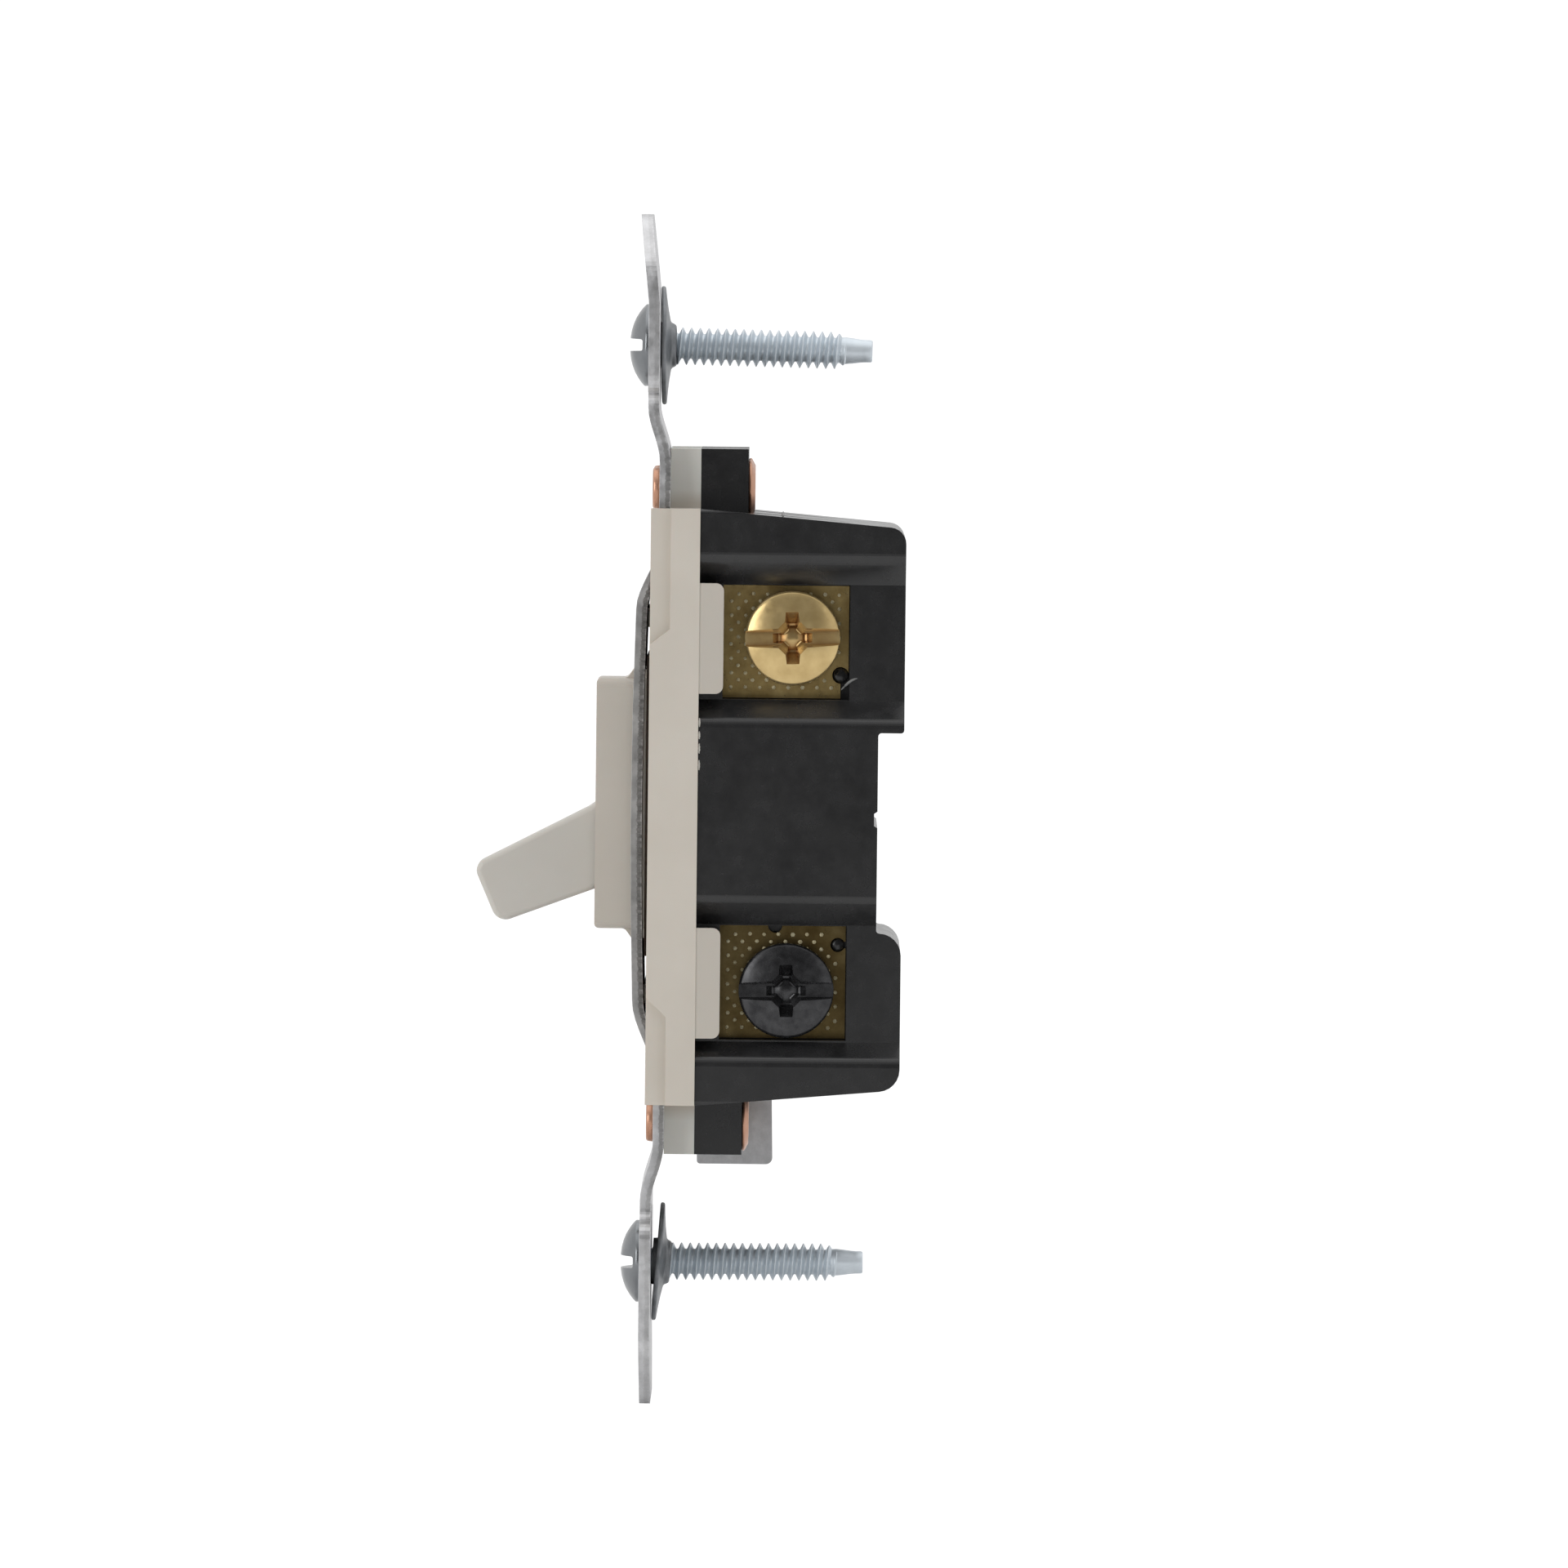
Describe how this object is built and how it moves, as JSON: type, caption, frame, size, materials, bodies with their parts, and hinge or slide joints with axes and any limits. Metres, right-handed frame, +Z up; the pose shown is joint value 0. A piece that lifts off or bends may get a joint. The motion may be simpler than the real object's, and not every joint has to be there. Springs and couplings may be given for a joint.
{
  "type": "toggle wall switch",
  "caption": "Framed toggle wall switch on a steel strap, with screw terminals; its lever rocks the contacts between two positions.",
  "frame": {"origin": "midway between the two mounting screws and between the two wall-plate holes, on the rear plane of the strap's ears, which bears on the wall box", "axes": "+Z up along the strap, -Y out of the wall towards the user, +X right seen from the front"},
  "size_m": [0.038, 0.0388, 0.1078],
  "materials": {
    "galvanised_steel": "dull zinc coating with blotches and fine scratches",
    "ivory_plastic": "smooth moulded plastic, warm off-white",
    "ivory_lever": "smooth moulded plastic, warm off-white",
    "brown_fibre": "matt vulcanised fibre sheet",
    "black_plastic": "satin moulded thermoset, fine speckle",
    "copper": "bright copper plating",
    "spring_steel": "drawn wire",
    "brass": "stamped brass, slightly tarnished",
    "silver_contact": "coined silver alloy",
    "black_oxide": "black oxide over steel",
    "brass_screw": "bright brass plating",
    "green_screw": "green dyed zinc plating",
    "zinc_screw": "bluish bright zinc plating",
    "grey_washer": "dark grey fibre"
  },
  "bodies": {
    "root": {"strap": "galvanised_steel", "front_cover": "ivory_plastic", "insulator_sheet": "brown_fibre", "rear_housing": "black_plastic", "rivets_upper": "copper", "rivets_lower": "copper", "rocker_pin": "spring_steel", "common_terminal": "brass", "traveler_terminal_right": "brass", "traveler_terminal_left": "brass", "fixed_contacts": "silver_contact", "retaining_washer_top": "grey_washer", "retaining_washer_bottom": "grey_washer"},
    "lever": {"toggle": "ivory_lever", "toggle_spring": "spring_steel"},
    "rocker": {"contact_rocker": "brass", "moving_contacts": "silver_contact"},
    "common_screw": {"common_screw": "black_oxide"},
    "traveler_screw_right": {"traveler_screw_right": "brass_screw"},
    "traveler_screw_left": {"traveler_screw_left": "brass_screw"},
    "ground_screw": {"ground_screw": "green_screw"},
    "mount_screw_top": {"mount_screw_top": "zinc_screw"},
    "mount_screw_bottom": {"mount_screw_bottom": "zinc_screw"}
  },
  "joints": [
    {"name": "toggle_throw", "type": "hinge", "parent": "root", "child": "lever", "pos_m": [0, 0.004, 0], "axis": [-1, 0, 0], "range_deg": [0, 46.5], "deforming": ["toggle_spring"]},
    {"name": "rocker_tilt", "type": "hinge", "parent": "root", "child": "rocker", "pos_m": [0, 0.0144, 0], "axis": [-1, 0, 0], "range_deg": [0, 12]},
    {"name": "common_screw_out", "type": "slide", "parent": "root", "child": "common_screw", "axis": [1, 0, 0], "range_m": [0, 0.003]},
    {"name": "traveler_screw_right_out", "type": "slide", "parent": "root", "child": "traveler_screw_right", "axis": [1, 0, 0], "range_m": [0, 0.003]},
    {"name": "traveler_screw_left_out", "type": "slide", "parent": "root", "child": "traveler_screw_left", "axis": [-1, 0, 0], "range_m": [0, 0.003]},
    {"name": "ground_screw_out", "type": "slide", "parent": "root", "child": "ground_screw", "axis": [-1, 0, 0], "range_m": [0, 0.002]},
    {"name": "mount_screw_top_out", "type": "slide", "parent": "root", "child": "mount_screw_top", "axis": [0, -1, 0], "range_m": [0, 0.014]},
    {"name": "mount_screw_bottom_out", "type": "slide", "parent": "root", "child": "mount_screw_bottom", "axis": [0, -1, 0], "range_m": [0, 0.014]}
  ],
  "couplings": [
    {"joint": "rocker_tilt", "follows": "toggle_throw", "ratio": 0.258}
  ]
}
